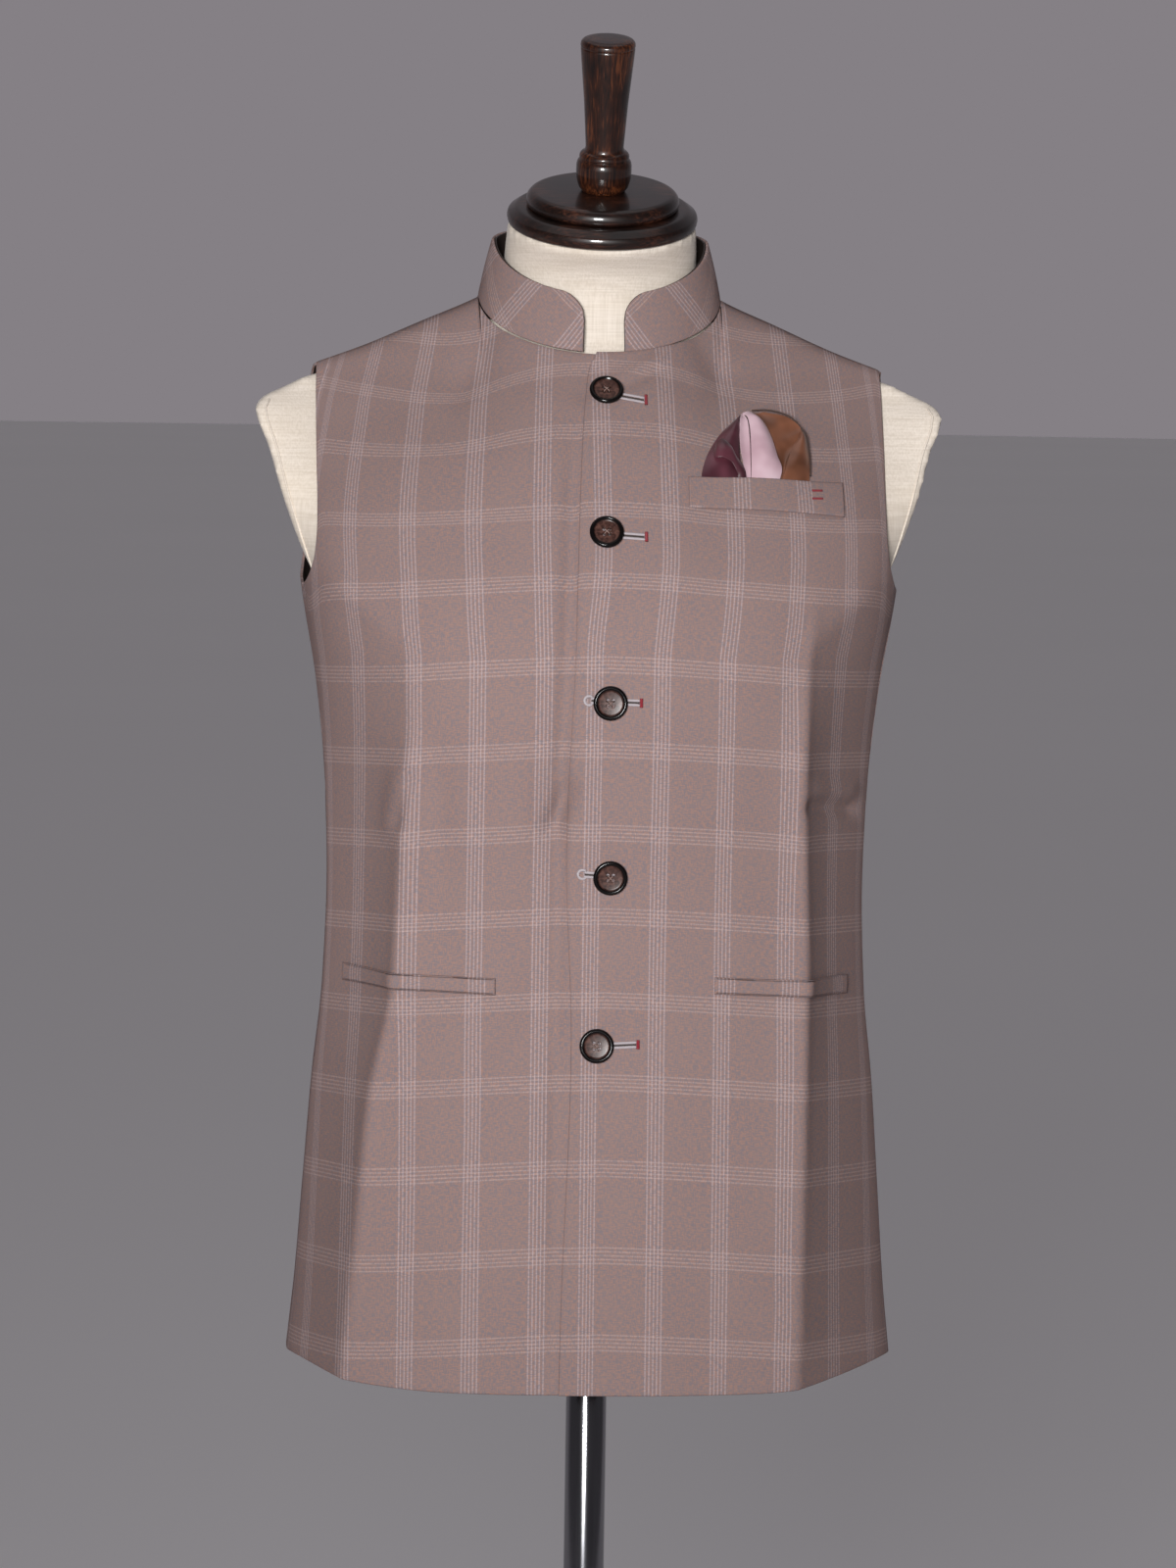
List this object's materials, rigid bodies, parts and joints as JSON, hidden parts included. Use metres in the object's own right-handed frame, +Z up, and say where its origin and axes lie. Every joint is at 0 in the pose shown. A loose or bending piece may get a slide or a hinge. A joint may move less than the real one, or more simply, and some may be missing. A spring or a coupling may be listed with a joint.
{
  "type": "suit waistcoat on a limbless tailor's form with a pole stand",
  "caption": "Sleeveless buttoned suit waistcoat with a band collar in a taupe windowpane check, worn by a linen tailor's form on a chrome pole with a turned wooden neck cap",
  "frame": {"origin": "the centre of the base plate's underside, on the pole's axis", "axes": "+X towards the wearer's left, +Y towards the back of the garment, +Z up"},
  "size_m": [0.448, 0.35, 1.6856],
  "materials": {
    "suiting": "fine worsted twill, taupe melange with a pale windowpane check",
    "lining": "dark lining, slightly glossy",
    "satin": "silky satin in burgundy, pale pink and copper",
    "button": "polished dark horn look",
    "linen": "cream linen stretched over the form",
    "turned_wood": "turned and varnished, dark brown",
    "pole_chrome": "polished chrome tube",
    "stand_steel": "brushed steel"
  },
  "bodies": {
    "root": {"front_left": "suiting", "front_right": "suiting", "back": "suiting", "collar": "suiting", "collar_lining": "lining", "breast_welt": "suiting", "hip_welt_left": "suiting", "hip_welt_right": "suiting", "pocket_square": "satin", "button_1": "button", "button_2": "button", "button_3": "button", "button_4": "button", "button_5": "button", "form_torso": "linen", "cap_lower": "turned_wood", "cap_upper": "turned_wood", "cap_handle": "turned_wood", "pole": "pole_chrome", "pole_flange": "stand_steel", "base_plate": "stand_steel", "base_hub": "stand_steel"}
  },
  "joints": []
}
